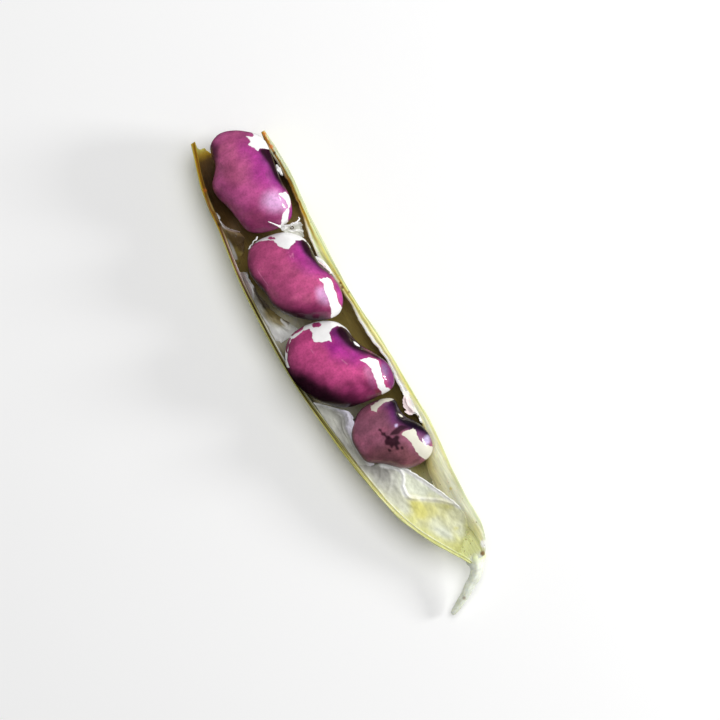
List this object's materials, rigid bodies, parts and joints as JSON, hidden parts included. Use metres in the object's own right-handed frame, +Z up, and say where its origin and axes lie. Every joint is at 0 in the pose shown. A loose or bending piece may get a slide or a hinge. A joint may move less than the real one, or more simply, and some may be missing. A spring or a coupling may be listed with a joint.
{
  "type": "opened bean pod",
  "caption": "Opened ripe bean pod lying on its belly: one boat-shaped valve with its bent stalk, loose papery lining, and kidney-shaped mottled magenta and white beans lying in a row in it.",
  "frame": {"origin": "middle of the flat on the valve's belly, which the pod rests on", "axes": "+X along the pod from the stalk to the torn tip, +Y towards the thin back seam, +Z up out of the open valve"},
  "size_m": [0.0811, 0.0158, 0.0101],
  "materials": {
    "pod_wall": "drying yellow-green pod wall, satin, with a paler seam",
    "stalk": "pale green, satin",
    "lining": "thin translucent skin, satin",
    "bean": "glossy seed coat, magenta mottled with maroon, with white patches",
    "base_bean": "duller mauve-brown seed coat with dark blotches and a cream stripe"
  },
  "bodies": {
    "root": {"pod_valve": "pod_wall", "stalk": "stalk", "lining_base": "lining", "lining_side": "lining", "lining_middle": "lining", "lining_tip": "lining", "bean_tip": "bean", "bean_second": "bean", "bean_third": "bean", "bean_base": "base_bean"}
  },
  "joints": []
}
